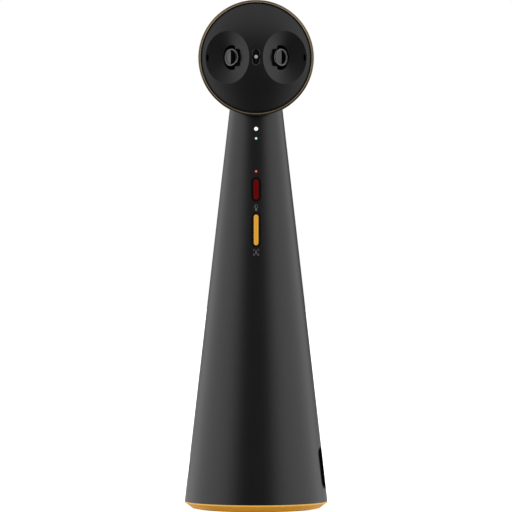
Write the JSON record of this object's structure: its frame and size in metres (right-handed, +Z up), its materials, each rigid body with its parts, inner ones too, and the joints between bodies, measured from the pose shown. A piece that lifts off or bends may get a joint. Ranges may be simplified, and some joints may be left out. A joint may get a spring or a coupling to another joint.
{
  "type": "conference camera",
  "caption": "Free-standing tabletop conference camera: a slim cone on a trim ring, with a round head whose two lenses look left and right, press keys, status lights and a side port bay.",
  "frame": {"origin": "centre of the foot, on the surface that the camera stands on", "axes": "+Z up the cone's axis to the head, the lenses' side faces -Y, +X to the right seen from the front"},
  "size_m": [0.0904, 0.0902, 0.32],
  "materials": {
    "shell": "fine matte black moulding",
    "face": "satin black moulding",
    "amber": "satin amber",
    "bronze": "satin bronze anodised",
    "rubber": "matte black rubber",
    "steel": "plain steel",
    "dark_steel": "blackened steel",
    "brass": "turned brass",
    "inner_plastic": "dark grey moulding",
    "bezel": "black, deep matte",
    "red_key": "satin dark red",
    "amber_key": "satin amber",
    "white_pipe": "milky clear",
    "teal_pipe": "milky teal",
    "red_pipe": "milky red",
    "pill": "gloss black",
    "lens_black": "matte black moulding",
    "lens_rim": "satin grey anodised",
    "glass": "coated optical glass",
    "board": "green circuit board",
    "chip": "black resin package",
    "metal_shell": "stamped steel",
    "sink": "plain aluminium",
    "ribbon": "amber film cable",
    "cable": "black cable jacket",
    "mesh": "fine black mesh"
  },
  "bodies": {
    "housing": {"body_shell": "shell", "base_ring": "amber", "base_plate": "inner_plastic", "foot_ring": "rubber", "base_screws": "dark_steel", "tripod_insert": "brass", "ballast_disc": "steel", "chassis": "inner_plastic", "main_board": "board", "processor": "chip", "heat_sink": "sink", "key_board": "board", "mute_frame": "bezel", "mute_switch": "chip", "framing_frame": "bezel", "framing_switch": "chip", "white_light": "white_pipe", "teal_light": "teal_pipe", "red_light": "red_pipe", "status_leds": "chip", "port_liner": "bezel", "usb_sockets": "metal_shell", "port_board": "board", "lock_plate": "dark_steel", "neck_bracket": "inner_plastic", "neck_screws": "dark_steel", "loom": "cable", "head_shell": "shell", "head_ring": "bronze", "face_gasket": "rubber", "head_face": "face", "head_board": "board", "status_window": "pill", "status_lamp": "white_pipe", "status_board": "board", "lens_holder_left": "lens_black", "lens_ring_left": "lens_rim", "front_lens_left": "glass", "inner_lens_left": "glass", "sensor_board_left": "board", "image_sensor_left": "chip", "sensor_ribbon_left": "ribbon", "mic_mesh_left": "mesh", "microphone_left": "metal_shell", "lens_holder_right": "lens_black", "lens_ring_right": "lens_rim", "front_lens_right": "glass", "inner_lens_right": "glass", "sensor_board_right": "board", "image_sensor_right": "chip", "sensor_ribbon_right": "ribbon", "mic_mesh_right": "mesh", "microphone_right": "metal_shell"},
    "mute_button": {"mute_key": "red_key", "mute_plunger": "inner_plastic"},
    "framing_button": {"framing_key": "amber_key", "framing_plunger": "inner_plastic"}
  },
  "joints": [
    {"name": "mute_press", "type": "slide", "parent": "housing", "child": "mute_button", "axis": [0, 0.9935, -0.1141], "range_m": [0, 0.0004], "stiffness_N_per_m": 700, "springref_m": -0.0006},
    {"name": "framing_press", "type": "slide", "parent": "housing", "child": "framing_button", "axis": [0, 0.9935, -0.1141], "range_m": [0, 0.0004], "stiffness_N_per_m": 700, "springref_m": -0.0006}
  ]
}
